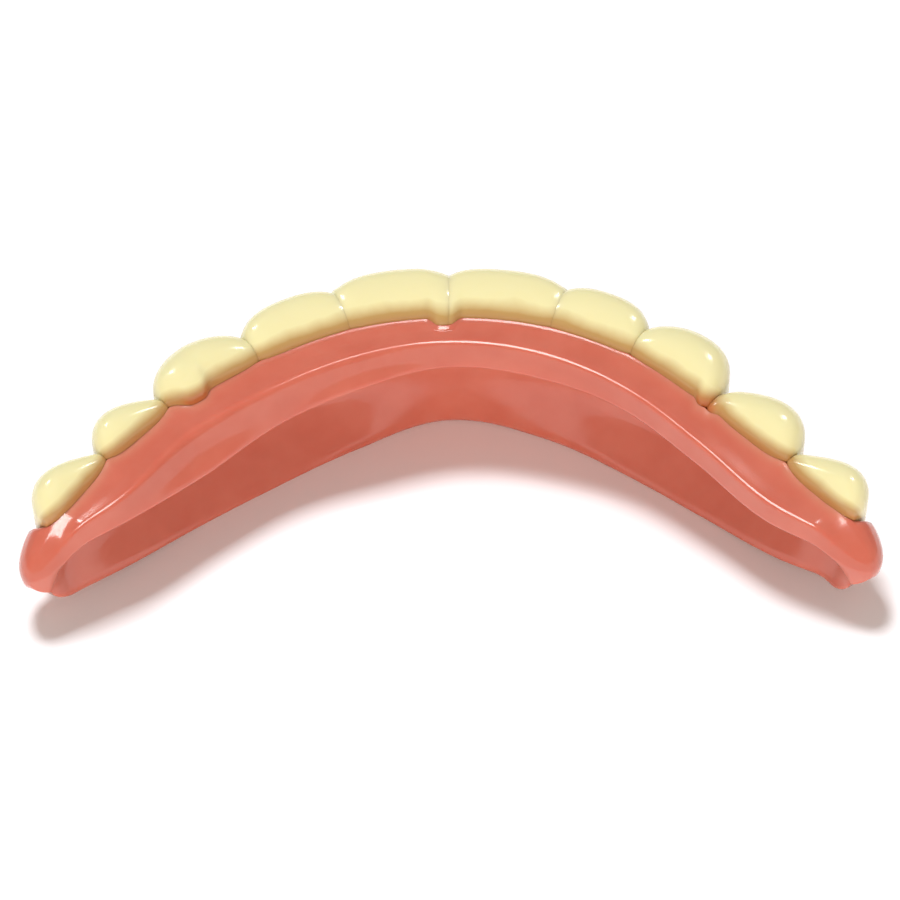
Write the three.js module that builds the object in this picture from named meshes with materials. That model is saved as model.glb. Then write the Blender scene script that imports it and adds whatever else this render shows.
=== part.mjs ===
// A cosmetic veneer: ten ivory teeth seated in a pink gum tray that clips over the wearer's own upper teeth.
// It lies gum edge down. X runs along the front teeth, Y points out of the mouth and Z to the biting edges.
// All lengths are in millimetres.

import * as THREE from 'three';

// The arch line, seen from above: the line where the ivory teeth meet the pink platform behind them.
// It bends back by archDepth at archHalfWidth to each side.
const archHalfWidth = 31;
const archDepth = 20.65;
const archRoundness = 2.12;

// Lengths measured along the arch line from the midline
const toothRowHalfLength = 33.9;
const endMarginLength = 3;
const endWallThickness = 1.7;
const endRadius = 2.8;
const hollowEndRadius = 3;
const restHalfLength = 20;

// Heights of the tray, from the rim up: the gum in front of the necks, then the crowns up to the platform
const endLiftHeight = 2;
const gumHeight = 4.2;
const crownHeight = 7.3;
const papillaHeight = 1.5;
const innerPapillaHeight = 0.6;
const socketDepth = 0.6;

// Widths and walls of the tray's section
const rimWidth = 2.1;
const flangeLeanDepth = 2.5;
const gumEdgeThickness = 0.4;
const innerPapillaDepth = 0.35;
const edgeShiftDepth = 1;
const platformWidth = 2.6;
const platformThickness = 1.4;
const lipHangHeight = 1;
const lipFlareDepth = 1.2;
const lipThickness = 1.15;
const shellThickness = 0.85;
const edgeRadius = 0.35;

// The seat behind the teeth: a short step under the platform's edge, a slope and an upright face
const seatDepth = 1.2;
const seatStepHeight = 0.6;
const seatSlopeHeight = 1.6;

// Clearances of the teeth
const seatGap = 0.3;
const toothGap = 0.3;

// The teeth: how thick their necks are, how much thinner at their sides, how far the front face swells out
// beyond the neck, how far the crown rises above the platform, and how thick and high the sides stay at least
const neckDepth = 1.1;
const neckTaperDepth = 0.4;
const toothSwellDepth = 1.5;
const toothRiseHeight = 2;
const leastSwellDepth = 0.05;
const leastRiseHeight = 0.1;

// How finely the solids are divided
const trayStations = 96;
const endStations = 6;
const toothStations = 13;
const archSamples = 600;
const archOverrun = 1.4;

const pinkAcrylic = { color: 0xdb7464, roughness: 0.18, metalness: 0 };
const ivoryAcrylic = { color: 0xf3e7b4, roughness: 0.16, metalness: 0 };

// Shares that shape the sections: how the gum swells over its height, where the ridge is rounded off,
// how the lip hangs and how the inside runs up its back and along under the platform
const gumCurve = [{ reach: 0.62, height: 0.4 }, { reach: 1, height: 0.78 }];
const ridgeCurve = { near: 0.5, far: 1.5 };
const lipCurve = { reach: 0.55, height: 0.62 };
const hollowCurve = { lip: 0.6, start: 0.2, end: 0.8 };
const liftPower = 1.6;
const papillaPower = 2.5;
const innerPapillaPower = 5;
const facePower = 0.7;
const faceShares = [0.3, 0.6, 0.85];
const crownTurns = [15, 45, 75, 105, 135, 162];

// The ten teeth from the left end to the right end.
// width: share of half the tooth row
// rise and swell: shares of the largest rise and swell
// contact: share of its rise and swell that a tooth keeps at its sides
// squareness: how flat its top and front run before they turn to the sides
// crest: where its highest line lies between its back (0) and its front face (1)
const toothColumns = ['name', 'width', 'rise', 'swell', 'contact', 'squareness', 'crest'];
const teeth = [
  ['tooth_premolar2_left', 0.182, 0.90, 0.54, 0.05, 2.0, 0.50],
  ['tooth_premolar1_left', 0.177, 0.85, 0.53, 0.05, 2.0, 0.50],
  ['tooth_canine_left', 0.223, 1.00, 0.91, 0.15, 2.2, 0.52],
  ['tooth_lateral_left', 0.208, 0.82, 0.83, 0.40, 2.8, 0.60],
  ['tooth_central_left', 0.210, 0.82, 1.00, 0.70, 3.5, 0.62],
  ['tooth_central_right', 0.220, 0.80, 0.95, 0.70, 3.5, 0.62],
  ['tooth_lateral_right', 0.181, 0.82, 0.87, 0.40, 2.8, 0.60],
  ['tooth_canine_right', 0.209, 1.00, 0.91, 0.15, 2.2, 0.52],
  ['tooth_premolar1_right', 0.207, 0.95, 0.58, 0.05, 2.0, 0.50],
  ['tooth_premolar2_right', 0.183, 0.95, 0.54, 0.05, 2.0, 0.50],
];

// The tray's changing section.
// at: share of half the tray's length, from the left end to the right end
// gum: share of the gum's height
// crown: share of the crown's height, the papillae's and the seat's slope
// front: share of the seat's depth and of the necks' thickness
// edge: how far the platform's outer edge shifts out of the mouth, as a share of the largest shift
// lean: share of the flange's lean
// platform: share of the platform's width
// hang and flare: shares of the lip's hang and flare
// inner: share of the inner papillae between the teeth
const sectionColumns = ['at', 'gum', 'crown', 'front', 'edge', 'lean', 'platform', 'hang', 'flare', 'inner'];
const traySections = [
  [-1.0, 0.70, 0.430, 0.80,  0.25, 0.10, 0.45, 0.30, 0.10, 1.0],
  [-0.9, 0.75, 0.570, 0.84,  0.25, 0.45, 0.60, 0.52, 0.20, 1.0],
  [-0.8, 0.80, 0.720, 0.87,  0.30, 0.75, 1.00, 0.76, 0.50, 1.0],
  [-0.6, 0.90, 0.890, 0.92,  0.40, 1.04, 0.95, 1.84, 1.40, 1.0],
  [-0.4, 0.95, 0.940, 0.97,  0.10, 1.16, 1.00, 1.60, 0.90, 0.3],
  [-0.2, 1.00, 0.985, 1.00,  0.00, 0.82, 0.97, 1.12, 1.00, 0.0],
  [ 0.0, 1.00, 1.000, 1.00,  0.00, 0.10, 0.86, 0.80, 0.60, 0.0],
  [ 0.2, 1.00, 0.985, 1.00,  0.00, 0.50, 0.94, 0.80, 0.60, 0.0],
  [ 0.4, 0.95, 0.935, 0.97, -0.10, 0.90, 1.06, 0.80, 0.25, 0.3],
  [ 0.6, 0.90, 0.820, 0.92, -0.55, 0.97, 1.10, 0.80, 0.20, 1.0],
  [ 0.8, 0.80, 0.600, 0.87, -0.20, 0.75, 1.15, 0.76, 0.10, 1.0],
  [ 0.9, 0.75, 0.490, 0.84,  0.10, 0.35, 0.80, 0.52, 0.10, 1.0],
  [ 1.0, 0.70, 0.400, 0.80,  0.20, 0.10, 0.50, 0.30, 0.10, 1.0],
];

// A table's row as an object with the columns' names
function named(columns, row) {
  return Object.fromEntries(columns.map((column, i) => [column, row[i]]));
}

const trayHalfLength = toothRowHalfLength + endMarginLength;
const sectionBlend = new THREE.CubicInterpolant(
  traySections.map(([at]) => at),
  traySections.flat(),
  sectionColumns.length,
);

// The tray's sizes at one place along the arch line
function trayAt(along) {
  const share = THREE.MathUtils.clamp(along / trayHalfLength, -1, 1);
  const shares = named(sectionColumns, sectionBlend.evaluate(share));
  const past = Math.max(0, Math.abs(along) - restHalfLength) / (trayHalfLength - restHalfLength);
  const rim = past ** liftPower * endLiftHeight;
  const gumLine = rim + shares.gum * gumHeight;
  return {
    rim,
    gumLine,
    top: gumLine + shares.crown * crownHeight,
    papilla: shares.crown * papillaHeight,
    slope: shares.crown * seatSlopeHeight,
    seat: shares.front * seatDepth,
    neck: shares.front * neckDepth,
    edge: shares.edge * edgeShiftDepth,
    lean: shares.lean * flangeLeanDepth,
    platform: shares.platform * platformWidth,
    hang: shares.hang * lipHangHeight,
    flare: shares.flare * lipFlareDepth,
    innerPapilla: shares.inner,
  };
}

// The arch line as points with the length run so far
function measureArch() {
  const points = [{ x: 0, y: 0, run: 0 }];
  const reach = archHalfWidth * archOverrun;
  for (let i = 1; i <= archSamples; i += 1) {
    const x = (reach * i) / archSamples;
    const y = -archDepth * (x / archHalfWidth) ** archRoundness;
    const last = points[i - 1];
    points.push({ x, y, run: last.run + Math.hypot(x - last.x, y - last.y) });
  }
  return points;
}

const archPoints = measureArch();

// The place on the arch line at a length from the midline, with the direction that points out of the mouth
function archPlace(along) {
  const length = Math.abs(along);
  const side = along < 0 ? -1 : 1;
  let next = 1;
  while (archPoints[next].run < length) next += 1;
  const from = archPoints[next - 1];
  const to = archPoints[next];
  const share = (length - from.run) / (to.run - from.run);
  const x = THREE.MathUtils.lerp(from.x, to.x, share);
  const slope = -(archDepth * archRoundness / archHalfWidth) * (x / archHalfWidth) ** (archRoundness - 1);
  const steep = Math.hypot(1, slope);
  return {
    x: side * x,
    y: -archDepth * (x / archHalfWidth) ** archRoundness,
    outX: (side * -slope) / steep,
    outY: 1 / steep,
  };
}

// A section point at a place along the arch, with its reach out of the mouth and its height
function placePoint(along, reach, height) {
  const place = archPlace(along);
  return [place.x + place.outX * reach, place.y + place.outY * reach, height];
}

// Where each tooth begins and ends along the arch line
function spanTeeth() {
  const rows = teeth.map((row) => named(toothColumns, row));
  const leftWidths = rows.slice(0, rows.length / 2).map((tooth) => tooth.width);
  let start = -leftWidths.reduce((sum, width) => sum + width) * toothRowHalfLength;
  return rows.map((tooth) => {
    const end = start + tooth.width * toothRowHalfLength;
    const span = { ...tooth, start, end };
    start = end;
    return span;
  });
}

const toothSpans = spanTeeth();

// How close a place is to the joint between two teeth: 0 at a tooth's middle, 1 at its sides
function jointShare(along) {
  const span = toothSpans.find((tooth) => along <= tooth.end) ?? toothSpans[toothSpans.length - 1];
  const middle = (span.start + span.end) / 2;
  return Math.min(1, Math.abs(along - middle) / ((span.end - span.start) / 2));
}

// The seat for the teeth, from the platform's edge down to the gum margin, as reach and height
function seatPath(along) {
  const tray = trayAt(along);
  const joint = jointShare(along) ** papillaPower;
  const inner = jointShare(along) ** innerPapillaPower * tray.innerPapilla;
  const margin = tray.gumLine + tray.papilla * joint;
  const socketFront = tray.seat + tray.neck - neckTaperDepth * joint + 2 * seatGap;
  const edge = tray.edge + innerPapillaDepth * inner;
  return [
    [edge, tray.top + innerPapillaHeight * inner],
    [edge, tray.top - seatStepHeight],
    [tray.seat, tray.top - seatStepHeight - tray.slope],
    [tray.seat, margin - socketDepth],
    [socketFront, margin - socketDepth],
    [socketFront, margin],
  ];
}

// Moves an open path sideways by a gap, towards its left, with mitred corners
function offsetPath(path, gap) {
  const normals = path.slice(1).map(([u, z], i) => {
    const du = u - path[i][0];
    const dz = z - path[i][1];
    const length = Math.hypot(du, dz);
    return [-dz / length, du / length];
  });
  return path.map(([u, z], i) => {
    const before = normals[Math.max(0, i - 1)];
    const after = normals[Math.min(normals.length - 1, i)];
    const scale = gap / (1 + before[0] * after[0] + before[1] * after[1]);
    return [u + (before[0] + after[0]) * scale, z + (before[1] + after[1]) * scale];
  });
}

// How much of the hollow's depth is left: all of it along the arch, none of it inside the end walls
function hollowShare(along) {
  const floorEnd = trayHalfLength - endWallThickness;
  const past = (Math.abs(along) - (floorEnd - hollowEndRadius)) / hollowEndRadius;
  return Math.sqrt(1 - THREE.MathUtils.clamp(past, 0, 1) ** 2);
}

// Draws a section's points in towards its middle where the tray's end is rounded off
function roundedOff(along, points) {
  const past = (Math.abs(along) - (trayHalfLength - endRadius)) / endRadius;
  const scale = Math.sqrt(1 - THREE.MathUtils.clamp(past, 0, 1) ** 2);
  const tray = trayAt(along);
  const centreU = (tray.edge - tray.platform + tray.seat + tray.neck) / 2;
  const centreZ = (tray.rim + tray.top) / 2;
  return points.map(([u, z]) => [
    THREE.MathUtils.lerp(centreU, u, scale),
    THREE.MathUtils.lerp(centreZ, z, scale),
  ]);
}

// The tray's closed section: rim, gum, seat, platform and lip, then the hollow's walls back to the rim
function traySection(along) {
  const tray = trayAt(along);
  const seat = seatPath(along);
  const [socketFront, margin] = seat[seat.length - 1];
  const rimInner = -tray.lean;
  const rimOuter = rimInner + rimWidth;
  const gumFront = socketFront + gumEdgeThickness;
  const ridge = tray.edge - tray.platform;
  const lipFoot = ridge - tray.flare;
  const underside = tray.top - platformThickness;
  const lipLow = underside - tray.hang;
  const lipInner = ridge + lipThickness;
  const shellFace = tray.seat - shellThickness;
  const shellTop = tray.top - seatStepHeight - tray.slope;

  const outer = [
    [rimInner + edgeRadius, tray.rim],
    [rimOuter - edgeRadius, tray.rim],
    [rimOuter, tray.rim + edgeRadius],
    ...gumCurve.map(({ reach, height }) => [
      THREE.MathUtils.lerp(rimOuter, gumFront, reach),
      THREE.MathUtils.lerp(tray.rim, margin, height),
    ]),
    ...seat.slice().reverse(),
    [(tray.edge + ridge) / 2, tray.top],
    [ridge + edgeRadius, tray.top - edgeRadius * ridgeCurve.near],
    [ridge, tray.top - edgeRadius * ridgeCurve.far],
    [
      THREE.MathUtils.lerp(ridge, lipFoot, lipCurve.reach),
      THREE.MathUtils.lerp(tray.top, lipLow, lipCurve.height),
    ],
    [lipFoot, lipLow + edgeRadius],
    [lipFoot + edgeRadius, lipLow],
  ];
  const hollow = [
    [lipFoot + lipThickness, lipLow + edgeRadius],
    [THREE.MathUtils.lerp(lipFoot, ridge, hollowCurve.lip) + lipThickness, underside - edgeRadius],
    [THREE.MathUtils.lerp(lipInner, shellFace, hollowCurve.start), underside],
    [THREE.MathUtils.lerp(lipInner, shellFace, hollowCurve.end), underside - edgeRadius],
    [shellFace, shellTop - edgeRadius],
    [shellFace, tray.gumLine],
    [rimInner, tray.rim + edgeRadius],
  ];

  // Inside the end walls the hollow's points lie on the straight line across its mouth
  const depth = hollowShare(along);
  const mouthTop = outer[outer.length - 1];
  const mouthFoot = outer[0];
  const filled = hollow.map(([u, z], i) => {
    const share = (i + 1) / (hollow.length + 1);
    const lineU = THREE.MathUtils.lerp(mouthTop[0], mouthFoot[0], share);
    const lineZ = THREE.MathUtils.lerp(mouthTop[1], mouthFoot[1], share);
    return [THREE.MathUtils.lerp(lineU, u, depth), THREE.MathUtils.lerp(lineZ, z, depth)];
  });
  return roundedOff(along, [...outer, ...filled]);
}

// A tooth's closed section: its back along the seat, its neck, its front face and its rounded top
function toothSection(tooth, across) {
  const start = tooth.start + toothGap / 2;
  const end = tooth.end - toothGap / 2;
  const along = THREE.MathUtils.lerp(start, end, (across + 1) / 2);
  const tray = trayAt(along);
  const fullness = Math.sqrt(1 - Math.abs(across) ** tooth.squareness);
  const keep = THREE.MathUtils.lerp(tooth.contact, 1, fullness);
  const back = offsetPath(seatPath(along), seatGap);
  const [backU, backZ] = back[0];
  const [neckU, neckZ] = back[back.length - 1];
  const front = neckU + toothSwellDepth * tooth.swell * keep + leastSwellDepth;
  const rise = toothRiseHeight * tooth.rise * keep + leastRiseHeight;
  const crest = THREE.MathUtils.lerp(backU, front, tooth.crest);

  const face = faceShares.map((share) => [
    THREE.MathUtils.lerp(neckU, front, Math.sin((share * Math.PI) / 2) ** facePower),
    THREE.MathUtils.lerp(neckZ, tray.top, share),
  ]);
  const dome = crownTurns.map((degrees) => {
    const turn = THREE.MathUtils.degToRad(degrees);
    const side = Math.cos(turn) > 0 ? front - crest : crest - backU;
    return [crest + side * Math.cos(turn), backZ + rise * Math.sin(turn)];
  });
  return { along, points: roundedOff(along, [...back, ...face, ...dome]) };
}

// A closed solid through a row of sections with the same number of points.
// The flat outlines of the first and the last section give the triangles of its two end faces.
function loft(loops, firstOutline, lastOutline) {
  const count = loops[0].length;
  const faces = [];
  for (let i = 0; i < loops.length - 1; i += 1) {
    for (let j = 0; j < count; j += 1) {
      const a = i * count + j;
      const b = i * count + ((j + 1) % count);
      faces.push(a, b, a + count, b, b + count, a + count);
    }
  }
  const last = (loops.length - 1) * count;
  const endFaces = (outline) => {
    const points = outline.map(([u, z]) => new THREE.Vector2(u, z));
    return THREE.ShapeUtils.triangulateShape(points, []);
  };
  endFaces(firstOutline).forEach(([a, b, c]) => faces.push(a, c, b));
  endFaces(lastOutline).forEach(([a, b, c]) => faces.push(last + a, last + b, last + c));
  const geometry = new THREE.BufferGeometry();
  geometry.setAttribute('position', new THREE.Float32BufferAttribute(loops.flat(2), 3));
  geometry.setIndex(faces);
  geometry.computeVertexNormals();
  return geometry;
}

// Places along the tray: evenly spread, then closer and closer together where the ends are rounded off
function trayPlaces() {
  const straight = trayHalfLength - endRadius;
  const step = (2 * straight) / trayStations;
  const even = Array.from({ length: trayStations + 1 }, (unused, i) => i * step - straight);
  const rounded = Array.from({ length: endStations }, (unused, i) => {
    const turn = (Math.PI / 2) * ((i + 1) / (endStations + 1));
    return straight + endRadius * Math.sin(turn);
  });
  return [...rounded.map((along) => -along).reverse(), ...even, ...rounded];
}

function makeTray() {
  const stations = trayPlaces();
  const sections = stations.map((along) => traySection(along));
  const loops = sections.map((section, i) => section.map(([u, z]) => placePoint(stations[i], u, z)));
  const geometry = loft(loops, sections[0], sections[sections.length - 1]);
  const mesh = new THREE.Mesh(geometry, new THREE.MeshStandardMaterial(pinkAcrylic));
  mesh.name = 'gum_tray';
  return mesh;
}

function makeTooth(tooth) {
  const sections = Array.from({ length: toothStations }, (unused, i) => {
    const across = -Math.cos((Math.PI * i) / (toothStations - 1));
    return toothSection(tooth, across);
  });
  const loops = sections.map(({ along, points }) => points.map(([u, z]) => placePoint(along, u, z)));
  const geometry = loft(loops, sections[0].points, sections[sections.length - 1].points);
  const mesh = new THREE.Mesh(geometry, new THREE.MeshStandardMaterial(ivoryAcrylic));
  mesh.name = tooth.name;
  return mesh;
}

// The veneer stands over the middle of its own outline, with its rim on the ground
const veneer = new THREE.Group();
veneer.add(makeTray());
toothSpans.forEach((tooth) => veneer.add(makeTooth(tooth)));
const bounds = new THREE.Box3().setFromObject(veneer);
const middle = bounds.getCenter(new THREE.Vector3());
veneer.position.set(-middle.x, -middle.y, -bounds.min.z);

export default veneer;
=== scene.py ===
"""A cosmetic dental veneer: ten ivory acrylic teeth seated in a glossy pink gum tray, lying gum edge down.

The maths below is in millimetres, and only the finished mesh points are turned to metres.
A point of the veneer is told by three lengths: its run along the arch line from the midline,
its reach out of the mouth from that line, and its height above the table.
"""

import math

import bpy
import numpy as np
from mathutils import Matrix, Vector


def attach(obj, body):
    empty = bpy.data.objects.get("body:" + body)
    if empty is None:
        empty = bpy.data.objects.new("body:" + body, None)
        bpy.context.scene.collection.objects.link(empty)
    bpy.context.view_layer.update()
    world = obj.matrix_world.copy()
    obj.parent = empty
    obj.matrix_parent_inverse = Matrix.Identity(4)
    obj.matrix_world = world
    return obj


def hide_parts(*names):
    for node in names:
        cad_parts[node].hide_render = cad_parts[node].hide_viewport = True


bl_info = {
    "name": "Cosmetic dental veneer",
    "version": (1, 0, 0),
    "blender": (4, 5, 0),
    "location": "3D View > Sidebar > Veneer",
    "description": "Builds an arch of ivory teeth in a pink gum tray",
    "category": "Object",
}

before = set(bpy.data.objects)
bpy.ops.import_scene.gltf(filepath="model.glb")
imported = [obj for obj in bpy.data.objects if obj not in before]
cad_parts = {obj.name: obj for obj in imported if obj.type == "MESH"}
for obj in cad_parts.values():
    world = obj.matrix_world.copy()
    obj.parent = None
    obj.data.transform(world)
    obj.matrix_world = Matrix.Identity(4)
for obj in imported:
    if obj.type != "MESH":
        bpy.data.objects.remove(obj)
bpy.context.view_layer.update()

MM = 0.001

# The arch line seen from above, with the middle of its bend at ARCH_APEX
ARCH_HALF_WIDTH = 31.0
ARCH_DEPTH = 20.65
ARCH_ROUNDNESS = 2.12
ARCH_APEX = (0.02, 7.57)
ARCH_SAMPLES = 4000

# Lengths along the arch line, the halves and starts told from the midline
TOOTH_ROW_HALF = 33.9
TRAY_HALF = 36.9
END_WALL = 1.2
END_ROUNDING = 2.8
BULB_START = 32.4
BULB_LENGTH = 3.6
HOLLOW_ROUNDING = 2.6
REST_HALF = 20.0
SEAT_CLOSES_BEFORE = 0.4
SEAT_CLOSING_LENGTH = 0.9
# No painted warm glow is put within this half width of the midline
NO_GLOW_MIDLINE_HALF = 5.0

# Heights, widths and walls of the section, and the shares and powers of its curves
END_LIFT = 2.0
LIFT_POWER = 1.6
GUM_HEIGHT = 4.2
CROWN_HEIGHT = 7.3
PAPILLA_HEIGHT = 1.5
INNER_PAPILLA_HEIGHT = 0.2
INNER_PAPILLA_REACH = 0.35
SOCKET_DEPTH = 0.6
SOCKET_ROOM = 0.6
RIM_WIDTH = 2.1
FLANGE_LEAN = 2.5
GUM_EDGE = 0.4
EDGE_SHIFT = 1.0
PLATFORM_WIDTH = 2.6
PLATFORM_THICKNESS = 1.4
LIP_HANG = 1.0
LIP_FLARE = 1.2
LIP_THICKNESS = 1.15
SHELL_WALL = 0.85
SEAT_DEPTH = 1.2
SEAT_STEP = 0.6
SEAT_SLOPE = 1.6
SEAT_BITE = 0.1
PLAN_SHARE = 0.3
SEAT_CLOSING_SWELL = 0.25
NECK_DEPTH = 1.1
NECK_TAPER = 0.4
TOOTH_SWELL = 1.5
TOOTH_RISE = 2.0
LEAST_RISE = 0.1
LEAST_OVERLAP = 0.04
FACE_POWER = 0.7
SIDE_SHARPNESS = 7.0

# How steeply the gum's points between the teeth rise towards a joint, in front and behind
PAPILLA_POWER = 2.5
INNER_PAPILLA_POWER = 3.0

# The ellipse of the tray's closed ends, as shares of half the section's height: how far it is lowered, and
# half its own height
ELLIPSE_DROP = 0.12
ELLIPSE_HEIGHT = 0.85

# How finely the surfaces are divided
TRAY_STATIONS = 380
END_STATIONS = 14
CURVE_SAMPLES = 2
TOOTH_MIDDLE_STATIONS = 44
TOOTH_SIDE_STATIONS = 9
FACE_POINTS = 13
TOP_POINTS = 29
TOOTH_MIDDLE_REACH = 0.9
TOOTH_SIDE_START = 0.92

# The ten teeth from the left end to the right end: width as a share of half the row, rise and swell as shares
# of the largest, the share kept at the sides, how square the top runs, where its crest lies between back and
# front, and how far the fullest place is set towards the left end
TEETH = (
    ("tooth_premolar2_left", 0.182, 0.90, 0.54, 0.05, 2.0, 0.50, 0.45),
    ("tooth_premolar1_left", 0.177, 0.85, 0.53, 0.05, 2.0, 0.50, 0.4),
    ("tooth_canine_left", 0.223, 1.00, 0.91, 0.15, 2.2, 0.52, 0.2),
    ("tooth_lateral_left", 0.208, 0.82, 0.83, 0.40, 2.8, 0.60, 0.1),
    ("tooth_central_left", 0.210, 0.82, 1.00, 0.70, 3.5, 0.62, 0.0),
    ("tooth_central_right", 0.220, 0.80, 0.95, 0.70, 3.5, 0.62, 0.0),
    ("tooth_lateral_right", 0.181, 0.82, 0.87, 0.40, 2.8, 0.60, -0.1),
    ("tooth_canine_right", 0.209, 1.00, 0.91, 0.15, 2.2, 0.52, -0.2),
    ("tooth_premolar1_right", 0.207, 0.95, 0.58, 0.05, 2.0, 0.50, -0.4),
    ("tooth_premolar2_right", 0.183, 0.95, 0.54, 0.05, 2.0, 0.50, -0.45),
)
TOOTH_COLUMNS = ("node", "width", "rise", "swell", "contact", "squareness", "crest", "skew")

# The tray's changing section from the left end to the right end, as shares of the sizes above
SECTION_COLUMNS = ("at", "gum", "crown", "front", "edge", "lean", "platform", "hang", "flare", "inner")
TRAY_SECTIONS = np.array((
    (-1.0, 0.70, 0.430, 0.80, 0.25, 0.10, 0.45, 0.30, 0.10, 1.0),
    (-0.9, 0.75, 0.570, 0.84, 0.25, 0.45, 0.60, 0.52, 0.20, 1.0),
    (-0.8, 0.80, 0.720, 0.87, 0.30, 0.75, 1.00, 0.76, 0.50, 1.0),
    (-0.6, 0.90, 0.890, 0.92, 0.40, 1.04, 0.95, 1.84, 1.40, 1.0),
    (-0.4, 0.95, 0.940, 0.97, 0.10, 1.16, 1.00, 1.60, 0.90, 0.3),
    (-0.2, 1.00, 0.985, 1.00, 0.00, 0.82, 0.97, 1.12, 1.00, 0.0),
    (0.0, 1.00, 1.000, 1.00, 0.00, 0.10, 0.86, 0.80, 0.60, 0.0),
    (0.2, 1.00, 0.985, 1.00, 0.00, 0.50, 0.94, 0.80, 0.60, 0.0),
    (0.4, 0.95, 0.935, 0.97, -0.10, 0.90, 1.06, 0.80, 0.25, 0.3),
    (0.6, 0.90, 0.820, 0.92, -0.55, 0.97, 1.10, 0.80, 0.20, 1.0),
    (0.8, 0.80, 0.600, 0.87, -0.20, 0.75, 1.15, 0.76, 0.10, 1.0),
    (0.9, 0.75, 0.490, 0.84, 0.10, 0.35, 0.80, 0.52, 0.10, 1.0),
    (1.0, 0.70, 0.400, 0.80, 0.20, 0.10, 0.50, 0.30, 0.10, 1.0),
))

# Small nicks in the pink edge where ivory shows through: the run at its middle, its depth and its half width
NICKS = (
    ("midline", -0.3, 0.75, 0.95),
    ("left canine", -19.8, 0.55, 1.1),
    ("right canine", 20.6, 0.55, 0.9),
)

# Where the pink runs out thin: how far from the edge and how far down
THIN_REACH = 0.55
THIN_DROP = 0.8
THIN_MOST = 0.5

# How the ivory's layering, and the painted light laid over it, follow the height over the tray's top: warm
# painted light from the pink low down and a painted pale glow towards the top. Behind, they start a little
# under that top and fill a short height. In front, they are spread over the whole crown
LAYER_START = 0.15
LAYER_HEIGHT = 2.3
FRONT_SHARE_AT_TOP = 1.2
FRONT_SHARE_FALL = 0.7
CROWN_OVER_TOP = 1.5

# A painted warm glow and shade low on a tooth's back, standing in for the pink's light shining into the
# ivory: in the nicks away from the midline and, more faintly, on back teeth
GLOW_START = 1.5
GLOW_HEIGHT = 0.9
NICK_FULL_DEPTH = 0.5
BACK_TOOTH_GLOW = 0.25

# The camera: where it looks, its angle above the table and how far its view is raised from there, its turn
# about its own line of sight and its distance
VIEW_POINT = Vector((0.02, 7.57, 0.0)) * MM
VIEW_PITCH = math.radians(50.0)
VIEW_RAISE = math.radians(0.417)
VIEW_ROLL = math.radians(-0.8)
VIEW_DISTANCE = 310.0 * MM
SENSOR_WIDTH = 36.0
FOCAL_LENGTH = 164.9

# The table and the lights, in metres and watts. A light's last two values say whether it shows in the gloss
# and whether it lights the surfaces
TABLE_HALF = 0.6
LIGHT_AIM = (0.0, 0.0, 0.005)
LIGHTS = (
    ("window", (-0.12, 0.22, 0.82), (0.18, 0.18), 6.1, "#f6f9ff", False, True),
    ("front_card", (0.0, -0.5, 0.12), (0.6, 0.2), 2.0, "#fff4ec", False, True),
    ("left_card", (-0.23, 0.17, 0.34), (0.05, 0.1), 0.35, "#ffffff", True, False),
    ("right_card", (0.22, 0.18, 0.34), (0.05, 0.1), 0.35, "#ffffff", True, False),
    ("ridge_card", (-0.048, -0.158, 0.405), (0.2, 0.3), 2.2, "#ffffff", True, False),
)
ROOM_COLOUR = "#fff0e9"
ROOM_STRENGTH = 0.38


def lerp(a, b, share):
    """The value that lies a share of the way from a to b."""
    return a + (b - a) * share


def linear(code):
    """An sRGB hex colour as linear red, green and blue."""
    parts = np.array([int(code[i:i + 2], 16) for i in (1, 3, 5)]) / 255.0
    return tuple(np.where(parts <= 0.04045, parts / 12.92, ((parts + 0.055) / 1.055) ** 2.4))


def arch_places(run):
    """Where a run along the arch line ends and which way out of the mouth points there.

    The line falls back by the power ARCH_ROUNDNESS of the share of its half width. Its length is summed
    in short steps, and the sideways place for a run is read off that sum.
    """
    x = np.linspace(0.0, ARCH_HALF_WIDTH * 1.4, ARCH_SAMPLES)
    y = -ARCH_DEPTH * (x / ARCH_HALF_WIDTH) ** ARCH_ROUNDNESS
    length = np.concatenate(([0.0], np.cumsum(np.hypot(np.diff(x), np.diff(y)))))
    across = np.interp(np.abs(run), length, x)
    share = across / ARCH_HALF_WIDTH
    slope = ARCH_DEPTH * ARCH_ROUNDNESS / ARCH_HALF_WIDTH * share ** (ARCH_ROUNDNESS - 1)
    steep = np.hypot(1.0, slope)
    side = np.where(run < 0, -1.0, 1.0)
    place = np.stack((side * across, -ARCH_DEPTH * share ** ARCH_ROUNDNESS), -1)
    return place + ARCH_APEX, np.stack((side * slope / steep, 1.0 / steep), -1)


def stand_up(run, section):
    """Turns sections of reach and height at the given runs into points in space, in metres."""
    place, outward = arch_places(run)
    flat = place[:, None, :] + outward[:, None, :] * section[..., :1]
    return np.concatenate((flat, section[..., 1:]), -1) * MM


def blend_rows(share):
    """A smooth curve through the tray's table.

    Between two rows it is the cubic that starts and ends with the slopes found from the rows on each side.
    """
    at = TRAY_SECTIONS[:, 0]
    slopes = np.gradient(TRAY_SECTIONS, at, axis=0)
    row = np.clip(np.searchsorted(at, share) - 1, 0, len(at) - 2)
    span = (at[row + 1] - at[row])[:, None]
    t = (share[:, None] - at[row][:, None]) / span
    values = (2 * t ** 3 - 3 * t ** 2 + 1) * TRAY_SECTIONS[row]
    values += (3 * t ** 2 - 2 * t ** 3) * TRAY_SECTIONS[row + 1]
    values += (t ** 3 - 2 * t ** 2 + t) * span * slopes[row]
    values += (t ** 3 - t ** 2) * span * slopes[row + 1]
    return dict(zip(SECTION_COLUMNS, values.T))


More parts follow.
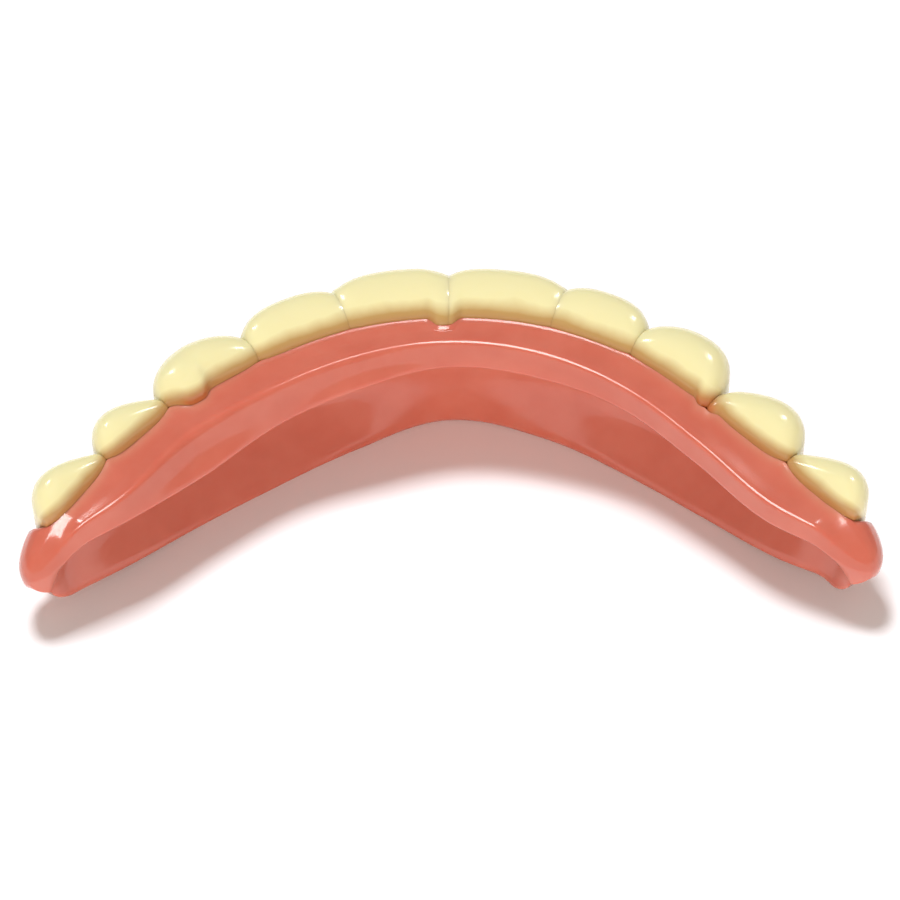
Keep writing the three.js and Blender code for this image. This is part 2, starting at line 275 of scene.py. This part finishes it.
def tray_sizes(run):
    """The tray's heights and widths at each run, as arrays."""
    share = blend_rows(np.clip(run / TRAY_HALF, -1.0, 1.0))
    past = np.maximum(0.0, np.abs(run) - REST_HALF) / (TRAY_HALF - REST_HALF)
    rim = past ** LIFT_POWER * END_LIFT
    gum_line = rim + share["gum"] * GUM_HEIGHT
    return {
        "rim": rim,
        "gum_line": gum_line,
        "top": gum_line + share["crown"] * CROWN_HEIGHT,
        "papilla": share["crown"] * PAPILLA_HEIGHT,
        "slope": share["crown"] * SEAT_SLOPE,
        "seat": share["front"] * SEAT_DEPTH,
        "neck": share["front"] * NECK_DEPTH,
        "edge": share["edge"] * EDGE_SHIFT,
        "lean": share["lean"] * FLANGE_LEAN,
        "platform": share["platform"] * PLATFORM_WIDTH,
        "hang": share["hang"] * LIP_HANG,
        "flare": share["flare"] * LIP_FLARE,
        "inner": share["inner"],
    }


def tooth_edges():
    """The runs at which one tooth ends and the next begins, from the left end of the row to the right."""
    widths = np.array([tooth[1] for tooth in TEETH])
    left = widths[:len(TEETH) // 2].sum()
    return (np.concatenate(([0.0], np.cumsum(widths))) - left) * TOOTH_ROW_HALF


def joint_share(run):
    """0 at a tooth's middle and 1 at its sides, growing evenly between them."""
    edges = tooth_edges()
    tooth = np.clip(np.searchsorted(edges, run) - 1, 0, len(TEETH) - 1)
    middle = (edges[tooth] + edges[tooth + 1]) / 2
    half = (edges[tooth + 1] - edges[tooth]) / 2
    return np.minimum(1.0, np.abs(run - middle) / half)


def nick_depth(run):
    """How far the pink edge steps back in its nicks, each a bell curve about its own middle."""
    bells = [depth * np.exp(-((run - middle) / half) ** 4) for name, middle, depth, half in NICKS]
    return np.sum(bells, axis=0)


def seat_lines(run):
    """The edge, margin and socket of the seat behind the teeth, with the papillae between the teeth."""
    tray = tray_sizes(run)
    joint = joint_share(run)
    inner = joint ** INNER_PAPILLA_POWER * tray["inner"]
    outer = joint ** PAPILLA_POWER
    tray["joint"] = outer
    tray["edge_top"] = tray["top"] + INNER_PAPILLA_HEIGHT * inner
    tray["edge_out"] = tray["edge"] + INNER_PAPILLA_REACH * inner - nick_depth(run)
    tray["margin"] = tray["gum_line"] + tray["papilla"] * outer
    tray["socket"] = tray["seat"] + tray["neck"] - NECK_TAPER * outer + SOCKET_ROOM
    return tray


def rounded_loop(corners, radii):
    """A closed smooth curve round a polygon's corners, for many polygons at once.

    Each corner becomes three guide points, itself and one on each side of it at its radius, but no further
    than four tenths of the edge. A cubic B-spline then runs through the row of guide points.
    """
    before = np.roll(corners, 1, 1) - corners
    after = np.roll(corners, -1, 1) - corners
    reach_before = np.linalg.norm(before, axis=-1, keepdims=True) + 1e-9
    reach_after = np.linalg.norm(after, axis=-1, keepdims=True) + 1e-9
    size = np.array(radii)[None, :, None]
    guides = np.stack((
        corners + before / reach_before * np.minimum(size, 0.4 * reach_before),
        corners,
        corners + after / reach_after * np.minimum(size, 0.4 * reach_after),
    ), 2).reshape(len(corners), -1, 2)
    pieces = []
    for sample in range(CURVE_SAMPLES):
        f = sample / CURVE_SAMPLES
        curve = (1 - f) ** 3 * np.roll(guides, 1, 1)
        curve += (3 * f ** 3 - 6 * f ** 2 + 4) * guides
        curve += (-3 * f ** 3 + 3 * f ** 2 + 3 * f + 1) * np.roll(guides, -1, 1)
        curve += f ** 3 * np.roll(guides, -2, 1)
        pieces.append(curve / 6.0)
    return np.stack(pieces, 2).reshape(len(corners), -1, 2)


def end_scale(run):
    """How large a section stays: 1 along the arch, then down a quarter circle to 0 at the tray's ends."""
    past = (np.abs(run) - (TRAY_HALF - END_ROUNDING)) / END_ROUNDING
    return np.sqrt(1.0 - np.clip(past, 0.0, 1.0) ** 2)


def hollow_scale(run):
    """How large the hollow stays: 1 along the arch, then down a quarter circle to 0 at the end walls."""
    floor_end = TRAY_HALF - END_WALL
    past = (np.abs(run) - (floor_end - HOLLOW_ROUNDING)) / HOLLOW_ROUNDING
    return np.sqrt(1.0 - np.clip(past, 0.0, 1.0) ** 2)


def shrink_ends(run, tray, section):
    """Draws sections in towards their middles at the tray's ends, so that the ends are round."""
    centre = np.stack((
        (tray["edge"] - tray["platform"] + tray["seat"] + tray["neck"]) / 2,
        (tray["rim"] + tray["top"]) / 2,
    ), -1)[:, None, :]
    return centre + (section - centre) * end_scale(run)[:, None, None]


def bulb_share(run):
    """How far a section has turned into the closed end's ellipse, from 0 to 1 along an S-curve."""
    past = np.clip((np.abs(run) - BULB_START) / BULB_LENGTH, 0.0, 1.0)
    return (past * past * (3.0 - 2.0 * past))[:, None, None]


def onto_ellipse(points, corners, least=0.05):
    """Moves points onto the ellipse that stands in the corners' box, lower than the box at its top.

    Points that lie nearer to its middle than the least share of its size only move by that share.
    """
    low, high = corners.min(1, keepdims=True), corners.max(1, keepdims=True)
    middle, half = (low + high) / 2, (high - low) / 2
    out = (points - middle) / half
    lower = middle - half * np.array([0.0, ELLIPSE_DROP])
    smaller = half * np.array([1.0, ELLIPSE_HEIGHT])
    return lower + smaller * out / np.maximum(np.linalg.norm(out, axis=-1, keepdims=True), least)


def bulge_over(seat, filled):
    """Closes the seat where it is filled: its corners move onto half an ellipse from first to last."""
    first, last = seat[0], seat[-1]
    corners = []
    for place, (reach, height, radius) in enumerate(seat):
        turn = math.pi * place / (len(seat) - 1)
        along = (1.0 - math.cos(turn)) / 2
        proud = SEAT_CLOSING_SWELL * math.sin(turn) * np.hypot(last[0] - first[0], last[1] - first[1])
        across = np.arctan2(last[1] - first[1], last[0] - first[0])
        reach_over = lerp(first[0], last[0], along) + proud * np.sin(across)
        height_over = lerp(first[1], last[1], along) - proud * np.cos(across)
        corners.append((lerp(reach, reach_over, filled), lerp(height, height_over, filled), radius))
    return corners


def tray_section(run, shape):
    """The tray's closed sections: rim, gum, seat, platform and lip, then the hollow's walls back to the rim.

    Each corner has its reach, its height and the radius that rounds it.
    """
    tray = seat_lines(run)
    rim, top, margin = tray["rim"], tray["top"], tray["margin"]
    rim_inner = -tray["lean"]
    rim_outer = rim_inner + RIM_WIDTH
    gum_front = tray["socket"] + GUM_EDGE
    root = shape.root_bulge / MM * (1.0 - 2.0 * tray["joint"])
    bead = shape.edge_bead / MM * (1.0 - tray["inner"])
    collar = shape.collar_height / MM * tray["inner"]
    filled = np.clip((np.abs(run) - TOOTH_ROW_HALF + SEAT_CLOSES_BEFORE) / SEAT_CLOSING_LENGTH, 0.0, 1.0)
    ridge = tray["edge"] - tray["platform"]
    lip_foot = ridge - tray["flare"]
    underside = top - PLATFORM_THICKNESS
    lip_low = underside - tray["hang"]
    shell_face = tray["seat"] - SHELL_WALL
    shell_top = top - SEAT_STEP - tray["slope"]
    ridge_radius = shape.ridge_rounding / MM
    seat = (
        (gum_front - 0.1, margin + 0.05, 0.25),
        (tray["socket"] - 0.05, margin - 0.1, 0.15),
        (tray["socket"], margin - SOCKET_DEPTH, 0.1),
        (tray["seat"], margin - SOCKET_DEPTH, 0.1),
        (tray["seat"], shell_top, 0.3),
        (tray["edge_out"], top - SEAT_STEP, 0.2),
        (tray["edge_out"], tray["edge_top"] + bead + collar, 0.12),
    )
    seat = bulge_over(seat, filled)
    outer = (
        (rim_outer, rim, 0.8),
        (lerp(rim_outer, gum_front, 0.62) + root, lerp(rim, margin, 0.4), 1.2),
        (gum_front + root, lerp(rim, margin, 0.8), 0.6),
        *seat,
        (tray["edge_out"] - 0.35, lerp(top, tray["edge_top"], 0.8) + bead * 0.3 + collar * 0.25, 0.25),
        (lerp(tray["edge"], ridge, 0.5), top - 0.06, 0.8),
        (ridge, top, ridge_radius),
        (lerp(ridge, lip_foot, 0.45), lerp(top, lip_low, 0.55), 0.9),
        (lip_foot, lip_low, 0.55),
    )
    hollow = (
        (lip_foot + LIP_THICKNESS, lip_low, 0.55),
        (lerp(lip_foot, ridge, 0.6) + LIP_THICKNESS, underside - 0.35, 0.7),
        (lerp(ridge + LIP_THICKNESS, shell_face, 0.2), underside, 0.6),
        (lerp(ridge + LIP_THICKNESS, shell_face, 0.8), underside - 0.2, 0.6),
        (shell_face, shell_top - 0.35, 0.9),
        (shell_face, tray["gum_line"], 1.2),
        (rim_inner, rim, 0.7),
    )
    radii = [corner[2] for corner in outer + hollow]
    outer = np.stack([np.stack((u + 0 * rim, z + 0 * rim), -1) for u, z, r in outer], 1)
    hollow = np.stack([np.stack((u + 0 * rim, z + 0 * rim), -1) for u, z, r in hollow], 1)

    # Towards the end walls the hollow draws in to the middle of its mouth, which stands a little proud there,
    # and the whole section turns into an ellipse
    left = hollow_scale(run)[:, None, None]
    proud = np.array([-shape.end_bulge / MM, 0.0]) * (1.0 - left)
    bulb = bulb_share(run)
    hollow = lerp(hollow, onto_ellipse(hollow, outer, 1.0), bulb)
    mouth = (hollow[:, :1] + hollow[:, -1:]) / 2
    hollow = lerp(mouth + proud, onto_ellipse(mouth, outer), bulb) + (hollow - mouth) * left
    outer = lerp(outer, onto_ellipse(outer, outer), bulb)
    section = rounded_loop(np.concatenate((outer, hollow), 1), radii)
    return shrink_ends(run, tray, section)


def tooth_section(tooth, across, shape):
    """A tooth's closed sections: its back along the seat, its neck, its front face and its rounded top.

    The face swells out with the sine of its height, and the top is half an ellipse on each side of its crest.
    Both keep only a share of their size towards the tooth's sides, along a superellipse.
    """
    overlap = shape.tooth_overlap / MM * lerp(LEAST_OVERLAP, 1.0, tooth["contact"])
    run = lerp(tooth["start"] - overlap, tooth["end"] + overlap, (across + 1) / 2)
    tray = seat_lines(run)
    from_crest = across + tooth["skew"] * (1.0 - across ** 2)
    fullness = np.sqrt(1.0 - np.abs(from_crest) ** tooth["squareness"])
    keep = lerp(tooth["contact"], 1.0, fullness)
    back = tray["edge_out"] - SEAT_BITE
    foot = tray["margin"] - SOCKET_DEPTH - SEAT_BITE
    neck = tray["socket"] + SEAT_BITE
    front = back + (neck + TOOTH_SWELL * tooth["swell"] - back) * lerp(PLAN_SHARE, 1.0, keep)
    rise = TOOTH_RISE * tooth["rise"] * keep + LEAST_RISE
    crest = lerp(back, front, tooth["crest"])
    step = tray["top"] - SEAT_STEP
    points = [
        (back, step),
        (tray["seat"] - SEAT_BITE, step - tray["slope"]),
        (tray["seat"] - SEAT_BITE, foot),
        (neck, foot),
    ]
    for share in np.linspace(0.0, 1.0, FACE_POINTS + 1)[:-1]:
        points.append((
            lerp(neck, front, math.sin(share * math.pi / 2) ** FACE_POWER),
            lerp(tray["margin"], tray["top"], share),
        ))
    for turn in np.linspace(0.0, math.pi, TOP_POINTS):
        side = np.where(math.cos(turn) > 0, front - crest, crest - back)
        points.append((crest + side * math.cos(turn), tray["edge_top"] + rise * math.sin(turn)))
    section = np.stack([np.stack((u + 0 * run, z + 0 * run), -1) for u, z in points], 1)
    return run, shrink_ends(run, tray, section)


def tray_runs():
    """Runs along the tray: evenly spread, then closer and closer together round the two ends."""
    straight = TRAY_HALF - END_ROUNDING
    even = np.linspace(-straight, straight, TRAY_STATIONS)
    turn = np.linspace(0.0, math.pi / 2, END_STATIONS + 2)[1:-1]
    rounded = straight + END_ROUNDING * np.sin(turn)
    return np.concatenate((-rounded[::-1], even, rounded))


def side_rounding(sharpness=SIDE_SHARPNESS):
    """Places across a tooth from -1 to 1, and how large its sections are there, along a superellipse."""
    middle = np.linspace(-TOOTH_MIDDLE_REACH, TOOTH_MIDDLE_REACH, TOOTH_MIDDLE_STATIONS)
    first_turn = math.asin(TOOTH_SIDE_START ** (sharpness / 2))
    turn = np.linspace(first_turn, math.pi / 2, TOOTH_SIDE_STATIONS + 1)[:-1]
    side = np.sin(turn) ** (2.0 / sharpness)
    across = np.concatenate((-side[::-1], middle, side))
    return across, (1.0 - np.abs(across) ** sharpness) ** (1.0 / sharpness)


def closed_mesh(name, rings, attributes):
    """A closed surface through rings of points, with a pole in the middle of the first and the last ring."""
    stations, around = rings.shape[:2]
    poles = np.stack((rings[0].mean(0), rings[-1].mean(0)))
    points = np.concatenate((rings.reshape(-1, 3), poles))
    index = np.arange(stations * around).reshape(stations, around)
    here, beside = index[:-1], np.roll(index, -1, 1)[:-1]
    above, across = index[1:], np.roll(index, -1, 1)[1:]
    quads = np.stack((here, beside, across, above), -1).reshape(-1, 4)
    first, last = stations * around, stations * around + 1
    start = np.stack((np.full(around, first), np.roll(index[0], -1), index[0]), -1)
    finish = np.stack((np.full(around, last), index[-1], np.roll(index[-1], -1)), -1)
    mesh = bpy.data.meshes.new(name)
    mesh.from_pydata(points.tolist(), [], quads.tolist() + start.tolist() + finish.tolist())
    mesh.polygons.foreach_set("use_smooth", np.ones(len(mesh.polygons), bool))
    for key, values in attributes.items():
        ends = [values[0].mean(), values[-1].mean()]
        layer = mesh.attributes.new(key, "FLOAT", "POINT")
        layer.data.foreach_set("value", np.concatenate((values.ravel(), ends)).astype(np.float32))
    mesh.update()
    piece = bpy.data.objects.new(name, mesh)
    bpy.context.scene.collection.objects.link(piece)
    return piece


def settle(piece, node, material):
    """Puts a finished piece on the veneer's one body in place of its plain solid, with its material."""
    piece.data.materials.append(material)
    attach(piece, "root")
    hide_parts(node)


def add_node(material, kind, inputs=None, links=None, **settings):
    """Adds a node: settings are its properties, inputs its sockets' values, links its sockets' sources."""
    node = material.node_tree.nodes.new(kind)
    for key, value in settings.items():
        setattr(node, key, value)
    for key, value in (inputs or {}).items():
        node.inputs[key].default_value = value
    for key, source in (links or {}).items():
        material.node_tree.links.new(source, node.inputs[key])
    return node


def noise(material, place, size, detail):
    """Cloudy noise with features of about the given size, in millimetres."""
    inputs = {"Scale": 1.0 / (size * MM), "Detail": detail}
    return add_node(material, "ShaderNodeTexNoise", inputs, {"Vector": place}).outputs["Fac"]


def uneven_normal(material, height, strength, depth):
    """A surface direction that the given height makes uneven, with its depth in millimetres."""
    inputs = {"Strength": strength, "Distance": depth * MM}
    return add_node(material, "ShaderNodeBump", inputs, {"Height": height}).outputs["Normal"]


def new_material(name):
    """An empty node material with its output node."""
    material = bpy.data.materials.new(name)
    material.use_nodes = True
    material.node_tree.nodes.clear()
    output = add_node(material, "ShaderNodeOutputMaterial")
    return material, output


def finish_material(material, output, shader):
    """Joins the shader to the material's output."""
    material.node_tree.links.new(shader.outputs[0], output.inputs["Surface"])
    return material


def polished_pink_acrylic(colours):
    """Pink dental acrylic, cured in a mould and polished on a wheel.

    Its colour comes from fine pigment that is not quite even, light goes a little way into it, and the
    wheel leaves a wet gloss on a surface that is not quite flat. Where it runs out thin over the ivory at
    the back teeth, the ivory warms it through.
    """
    material, output = new_material("polished_pink_acrylic")
    place = add_node(material, "ShaderNodeTexCoord").outputs["Object"]
    cloud = noise(material, place, 3.0, 3.0)
    uneven = add_node(material, "ShaderNodeMapRange",
                      {"From Min": 0.35, "From Max": 0.65, "To Min": 0.0, "To Max": 1.0},
                      {"Value": cloud})
    body = add_node(material, "ShaderNodeMix",
                    {"A": (*colours.gum, 1.0), "B": (*colours.gum_deep, 1.0)},
                    {"Factor": uneven.outputs["Result"]}, data_type="RGBA")
    thin = add_node(material, "ShaderNodeAttribute", attribute_name="thin")
    tinted = add_node(material, "ShaderNodeMix", {"B": (*colours.gum_thin, 1.0)},
                      {"Factor": thin.outputs["Fac"], "A": body.outputs["Result"]}, data_type="RGBA")
    normal = uneven_normal(material, noise(material, place, 2.2, 2.0), 0.12, 0.05)
    shader = add_node(material, "ShaderNodeBsdfPrincipled", {
        "Roughness": 0.16,
        "IOR": 1.49,
        "Subsurface Weight": 0.35,
        "Subsurface Radius": (1.0, 0.35, 0.25),
        "Subsurface Scale": 1.2 * MM,
        "Coat Weight": 0.4,
        "Coat Roughness": 0.08,
    }, {"Base Color": tinted.outputs["Result"], "Normal": normal})
    return finish_material(material, output, shader)


def polished_ivory_acrylic(colours):
    """Ivory dental acrylic, layered like a tooth: ochre at the neck, paler and clearer at the edge.

    Its colour ramp is partly that layering and partly painted light: a painted warm glow from the pink low on
    the teeth's backs and a painted pale glow towards the tops. A further painted warm glow marks the nicks
    and the back teeth. Light goes further into it than into the pink, which softens its shading, and its
    gloss is the same.
    """
    material, output = new_material("polished_ivory_acrylic")
    place = add_node(material, "ShaderNodeTexCoord").outputs["Object"]
    height = add_node(material, "ShaderNodeAttribute", attribute_name="crown")
    cloud = noise(material, place, 2.5, 3.0)
    drift = add_node(material, "ShaderNodeMath", {1: 0.25}, {0: cloud}, operation="MULTIPLY")
    lifted = add_node(material, "ShaderNodeMath", {2: -0.12},
                      {0: height.outputs["Fac"], 1: drift.outputs["Value"]}, operation="ADD")
    # The ramp up each tooth: partly the ivory's own layering, partly painted light, warm low down where the
    # pink's light falls and pale towards the top as a painted glow
    layers_and_painted_glow = add_node(material, "ShaderNodeValToRGB", {}, {"Fac": lifted.outputs["Value"]})
    ramp = layers_and_painted_glow.color_ramp
    ramp.elements[0].position = 0.0
    ramp.elements[0].color = (*colours.ivory_neck, 1.0)
    ramp.elements[1].position = 0.95
    ramp.elements[1].color = (*colours.ivory_edge, 1.0)
    middle = ramp.elements.new(0.58)
    middle.color = (*colours.ivory, 1.0)
    # Painted warm glow: the pink's light shining into the ivory, mixed into the colour where the mesh marks
    # it
    painted_pink_glow = add_node(material, "ShaderNodeAttribute", attribute_name="painted_pink_glow")
    tinted = add_node(material, "ShaderNodeMix", {"B": (*colours.ivory_painted_glow, 1.0)},
                      {"Factor": painted_pink_glow.outputs["Fac"], "A": layers_and_painted_glow.outputs["Color"]}, data_type="RGBA")
    normal = uneven_normal(material, noise(material, place, 1.8, 2.0), 0.2, 0.05)
    shader = add_node(material, "ShaderNodeBsdfPrincipled", {
        "Roughness": 0.2,
        "IOR": 1.49,
        "Subsurface Weight": 0.6,
        "Subsurface Radius": (0.6, 0.7, 0.8),
        "Subsurface Scale": 1.2 * MM,
        "Coat Weight": 0.3,
        "Coat Roughness": 0.1,
    }, {"Base Color": tinted.outputs["Result"], "Normal": normal})
    return finish_material(material, output, shader)


def bleached_board(colours):
    """Smooth bleached card for the table: matt, even and nearly white."""
    material, output = new_material("bleached_board")
    place = add_node(material, "ShaderNodeTexCoord").outputs["Object"]
    normal = uneven_normal(material, noise(material, place, 0.8, 2.0), 0.05, 0.02)
    shader = add_node(material, "ShaderNodeBsdfPrincipled",
                      {"Base Color": (*colours.board, 1.0), "Roughness": 0.9}, {"Normal": normal})
    return finish_material(material, output, shader)


def length_property(name, description, millimetres):
    """A length that the user may change, held in metres."""
    return bpy.props.FloatProperty(name=name, description=description, default=millimetres * MM,
                                   min=0.0, precision=5, unit="LENGTH")


def colour_property(name, description, code):
    """A colour that the user may change, held as linear red, green and blue."""
    return bpy.props.FloatVectorProperty(name=name, description=description, default=linear(code),
                                         min=0.0, max=1.0, size=3, subtype="COLOR")


class VeneerShape(bpy.types.PropertyGroup):
    """Small sizes that finish the plain solids."""

    ridge_rounding: length_property("Ridge rounding", "How softly the platform turns down into the lip", 1.3)
    edge_bead: length_property("Edge bead", "Height of the crisp pink edge behind the front teeth", 0.22)
    collar_height: length_property("Collar height", "How far the pink climbs up the back teeth", 0.1)
    root_bulge: length_property("Root bulge", "How far the gum swells over each tooth's root", 0.12)
    end_bulge: length_property("End bulge", "How proud the closed ends of the tray stand", 0.5)
    tooth_overlap: length_property("Tooth overlap", "How far flat-sided teeth run into their neighbours", 1.3)


class VeneerColours(bpy.types.PropertyGroup):
    """Colours of the acrylics and of the table."""

    gum: colour_property("Gum pink", "Main colour of the pink acrylic", "#c66a55")
    gum_deep: colour_property("Deep gum pink", "Where the pink pigment lies thicker", "#c1634e")
    gum_thin: colour_property("Thin gum pink", "Where the pink runs out over the ivory", "#cf9072")
    # The three ivories are the ramp up each tooth; the neck's warmth and the edge's pallor are partly painted
    # light
    ivory: colour_property("Ivory", "Main colour of the teeth", "#b8995e")
    ivory_neck: colour_property("Neck ivory", "Colour of the teeth near the gum", "#bb8b57")
    ivory_edge: colour_property("Edge ivory", "Colour of the biting edges", "#e1dba8")
    # Colour of the painted warm glow where the pink's light shines into the ivory
    ivory_painted_glow: colour_property("Warm ivory", "Where the pink shines through the ivory", "#b4683a")
    board: colour_property("Table", "Colour of the pale table", "#fafaf9")


class VENEER_OT_gum_tray(bpy.types.Operator):
    """Build the pink gum tray as one closed surface along the arch"""

    bl_idname = "veneer.gum_tray"
    bl_label = "Gum tray"

    def execute(self, context):
        scene = context.scene
        run = tray_runs()
        section = tray_section(run, scene.veneer_shape)
        tray = seat_lines(run)
        near = np.exp(-((section[..., 0] - tray["edge_out"][:, None]) / THIN_REACH) ** 2)
        high = np.clip(1.0 - (tray["edge_top"][:, None] - section[..., 1]) / THIN_DROP, 0.0, 1.0)
        beside_teeth = (np.abs(run) < TOOTH_ROW_HALF)[:, None]
        thin = THIN_MOST * near * high * tray["inner"][:, None] * beside_teeth
        piece = closed_mesh("gum_tray_look", stand_up(run, section), {"thin": thin})
        settle(piece, "gum_tray", polished_pink_acrylic(scene.veneer_colours))
        return {"FINISHED"}


class VENEER_OT_teeth(bpy.types.Operator):
    """Build the ten ivory teeth, each a closed surface in its own seat"""

    bl_idname = "veneer.teeth"
    bl_label = "Teeth"

    def execute(self, context):
        scene = context.scene
        material = polished_ivory_acrylic(scene.veneer_colours)
        edges = tooth_edges()
        across, size = side_rounding()
        for row, start, end in zip(TEETH, edges[:-1], edges[1:]):
            tooth = dict(zip(TOOTH_COLUMNS, row), start=start, end=end)
            run, section = tooth_section(tooth, across, scene.veneer_shape)
            centre = section.mean(1, keepdims=True)
            section = centre + (section - centre) * size[:, None, None]
            tray = seat_lines(run)
            height = section[..., 1] - tray["top"][:, None]
            least, most = section[..., 0].min(1, keepdims=True), section[..., 0].max(1, keepdims=True)
            outward = (section[..., 0] - least) / np.maximum(most - least, 0.01)
            # The place on the ramp of the ivory's layering and of the painted light over it
            crown_height = (tray["top"] - tray["margin"])[:, None] + CROWN_OVER_TOP
            behind = (height + LAYER_START) / LAYER_HEIGHT
            front = FRONT_SHARE_AT_TOP + FRONT_SHARE_FALL * height / crown_height
            crown = lerp(behind, front, outward)
            # The painted warm glow from the pink: low on the tooth's back, in the nicks away from the
            # midline, and fainter on back teeth
            nicked = np.clip(nick_depth(run) / NICK_FULL_DEPTH, 0.0, 1.0)[:, None]
            low = np.clip(GLOW_START - height / GLOW_HEIGHT, 0.0, 1.0) * (1.0 - outward) ** 2
            warm = np.clip(tray["inner"], 0.0, 1.0)[:, None] * BACK_TOOTH_GLOW
            painted_pink_glow = low * np.maximum(nicked * (np.abs(run)[:, None] > NO_GLOW_MIDLINE_HALF), warm)
            rings = stand_up(run, section)
            piece = closed_mesh(tooth["node"] + "_look", rings, {"crown": crown, "painted_pink_glow": painted_pink_glow})
            settle(piece, tooth["node"], material)
        return {"FINISHED"}


def area_light(name, place, size, power, colour, glossy, diffuse):
    """A rectangular soft light that faces the veneer, and may be kept out of the gloss or give only that."""
    data = bpy.data.lights.new(name, "AREA")
    data.shape = "RECTANGLE"
    data.size, data.size_y = size
    data.energy = power
    data.color = linear(colour)
    light = bpy.data.objects.new(name, data)
    light.location = place
    light.visible_glossy = glossy
    light.visible_diffuse = diffuse
    light.rotation_euler = (Vector(LIGHT_AIM) - Vector(place)).to_track_quat("-Z", "Y").to_euler()
    bpy.context.scene.collection.objects.link(light)
    return light


def add_camera():
    """The camera: it looks down at the arch line's middle from the tongue side."""
    data = bpy.data.cameras.new("camera")
    data.sensor_width = SENSOR_WIDTH
    data.lens = FOCAL_LENGTH
    data.clip_start = 0.01
    camera = bpy.data.objects.new("camera", data)
    away = Vector((0.0, -math.cos(VIEW_PITCH), math.sin(VIEW_PITCH)))
    pitch = Matrix.Rotation(math.pi / 2 - VIEW_PITCH - VIEW_RAISE, 4, "X")
    roll = Matrix.Rotation(VIEW_ROLL, 4, "Z")
    camera.matrix_world = Matrix.Translation(VIEW_POINT + away * VIEW_DISTANCE) @ pitch @ roll
    bpy.context.scene.collection.objects.link(camera)
    bpy.context.scene.camera = camera


class VENEER_OT_stage(bpy.types.Operator):
    """Build the pale table, the soft lights and the camera"""

    bl_idname = "veneer.stage"
    bl_label = "Stage"

    def execute(self, context):
        scene = context.scene
        mesh = bpy.data.meshes.new("table")
        corners = [(x * TABLE_HALF, y * TABLE_HALF, 0.0) for x, y in ((-1, -1), (1, -1), (1, 1), (-1, 1))]
        mesh.from_pydata(corners, [], [(0, 1, 2, 3)])
        table = bpy.data.objects.new("table", mesh)
        scene.collection.objects.link(table)
        mesh.materials.append(bleached_board(scene.veneer_colours))
        lights = {row[0]: area_light(*row) for row in LIGHTS}
        pink = bpy.data.collections.new("pink_pieces")
        pink.objects.link(bpy.data.objects["gum_tray_look"])
        lights["ridge_card"].light_linking.receiver_collection = pink
        world = bpy.data.worlds.new("pale_room")
        world.use_nodes = True
        background = world.node_tree.nodes["Background"]
        background.inputs["Color"].default_value = (*linear(ROOM_COLOUR), 1.0)
        background.inputs["Strength"].default_value = ROOM_STRENGTH
        scene.world = world
        scene.view_settings.view_transform = "Standard"
        add_camera()
        return {"FINISHED"}


class VENEER_PT_pieces(bpy.types.Panel):
    """The veneer's pieces, sizes and colours"""

    bl_idname = "VENEER_PT_pieces"
    bl_label = "Dental veneer"
    bl_space_type = "VIEW_3D"
    bl_region_type = "UI"
    bl_category = "Veneer"

    def draw(self, context):
        layout = self.layout
        for operator in (VENEER_OT_gum_tray, VENEER_OT_teeth, VENEER_OT_stage):
            layout.operator(operator.bl_idname)
        for group in (context.scene.veneer_shape, context.scene.veneer_colours):
            for key in type(group).__annotations__:
                layout.prop(group, key)


CLASSES = (
    VeneerShape,
    VeneerColours,
    VENEER_OT_gum_tray,
    VENEER_OT_teeth,
    VENEER_OT_stage,
    VENEER_PT_pieces,
)


def register():
    for item in CLASSES:
        bpy.utils.register_class(item)
    bpy.types.Scene.veneer_shape = bpy.props.PointerProperty(type=VeneerShape)
    bpy.types.Scene.veneer_colours = bpy.props.PointerProperty(type=VeneerColours)


def unregister():
    del bpy.types.Scene.veneer_colours
    del bpy.types.Scene.veneer_shape
    for item in reversed(CLASSES):
        bpy.utils.unregister_class(item)


def main():
    register()
    bpy.ops.veneer.gum_tray()
    bpy.ops.veneer.teeth()
    bpy.ops.veneer.stage()


if __name__ == "__main__":
    main()
